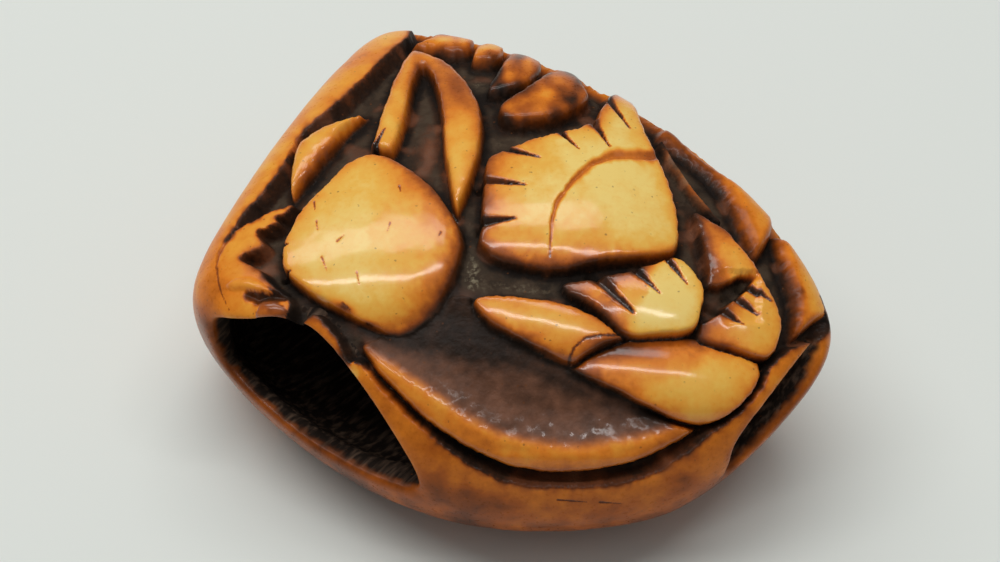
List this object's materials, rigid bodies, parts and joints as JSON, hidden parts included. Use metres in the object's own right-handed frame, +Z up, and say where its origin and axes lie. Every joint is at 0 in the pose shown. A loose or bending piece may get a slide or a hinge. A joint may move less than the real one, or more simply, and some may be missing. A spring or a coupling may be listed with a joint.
{
  "type": "netsuke",
  "caption": "Pierced, hollow antler toggle with leaves and shell-like plates carved in relief; stands on its belly, a cord passes through its tunnel.",
  "frame": {"origin": "under the middle of the object's box, on the surface it rests on", "axes": "+Z up; +X to the right along the tunnel, from the large mouth towards the slot; the carved front faces -Y and up"},
  "size_m": [0.0475, 0.0444, 0.0207],
  "materials": {
    "antler": "hand-polished stag antler, amber on the raised work and dark brown in the cuts"
  },
  "bodies": {
    "root": {"netsuke": "antler"}
  },
  "joints": []
}
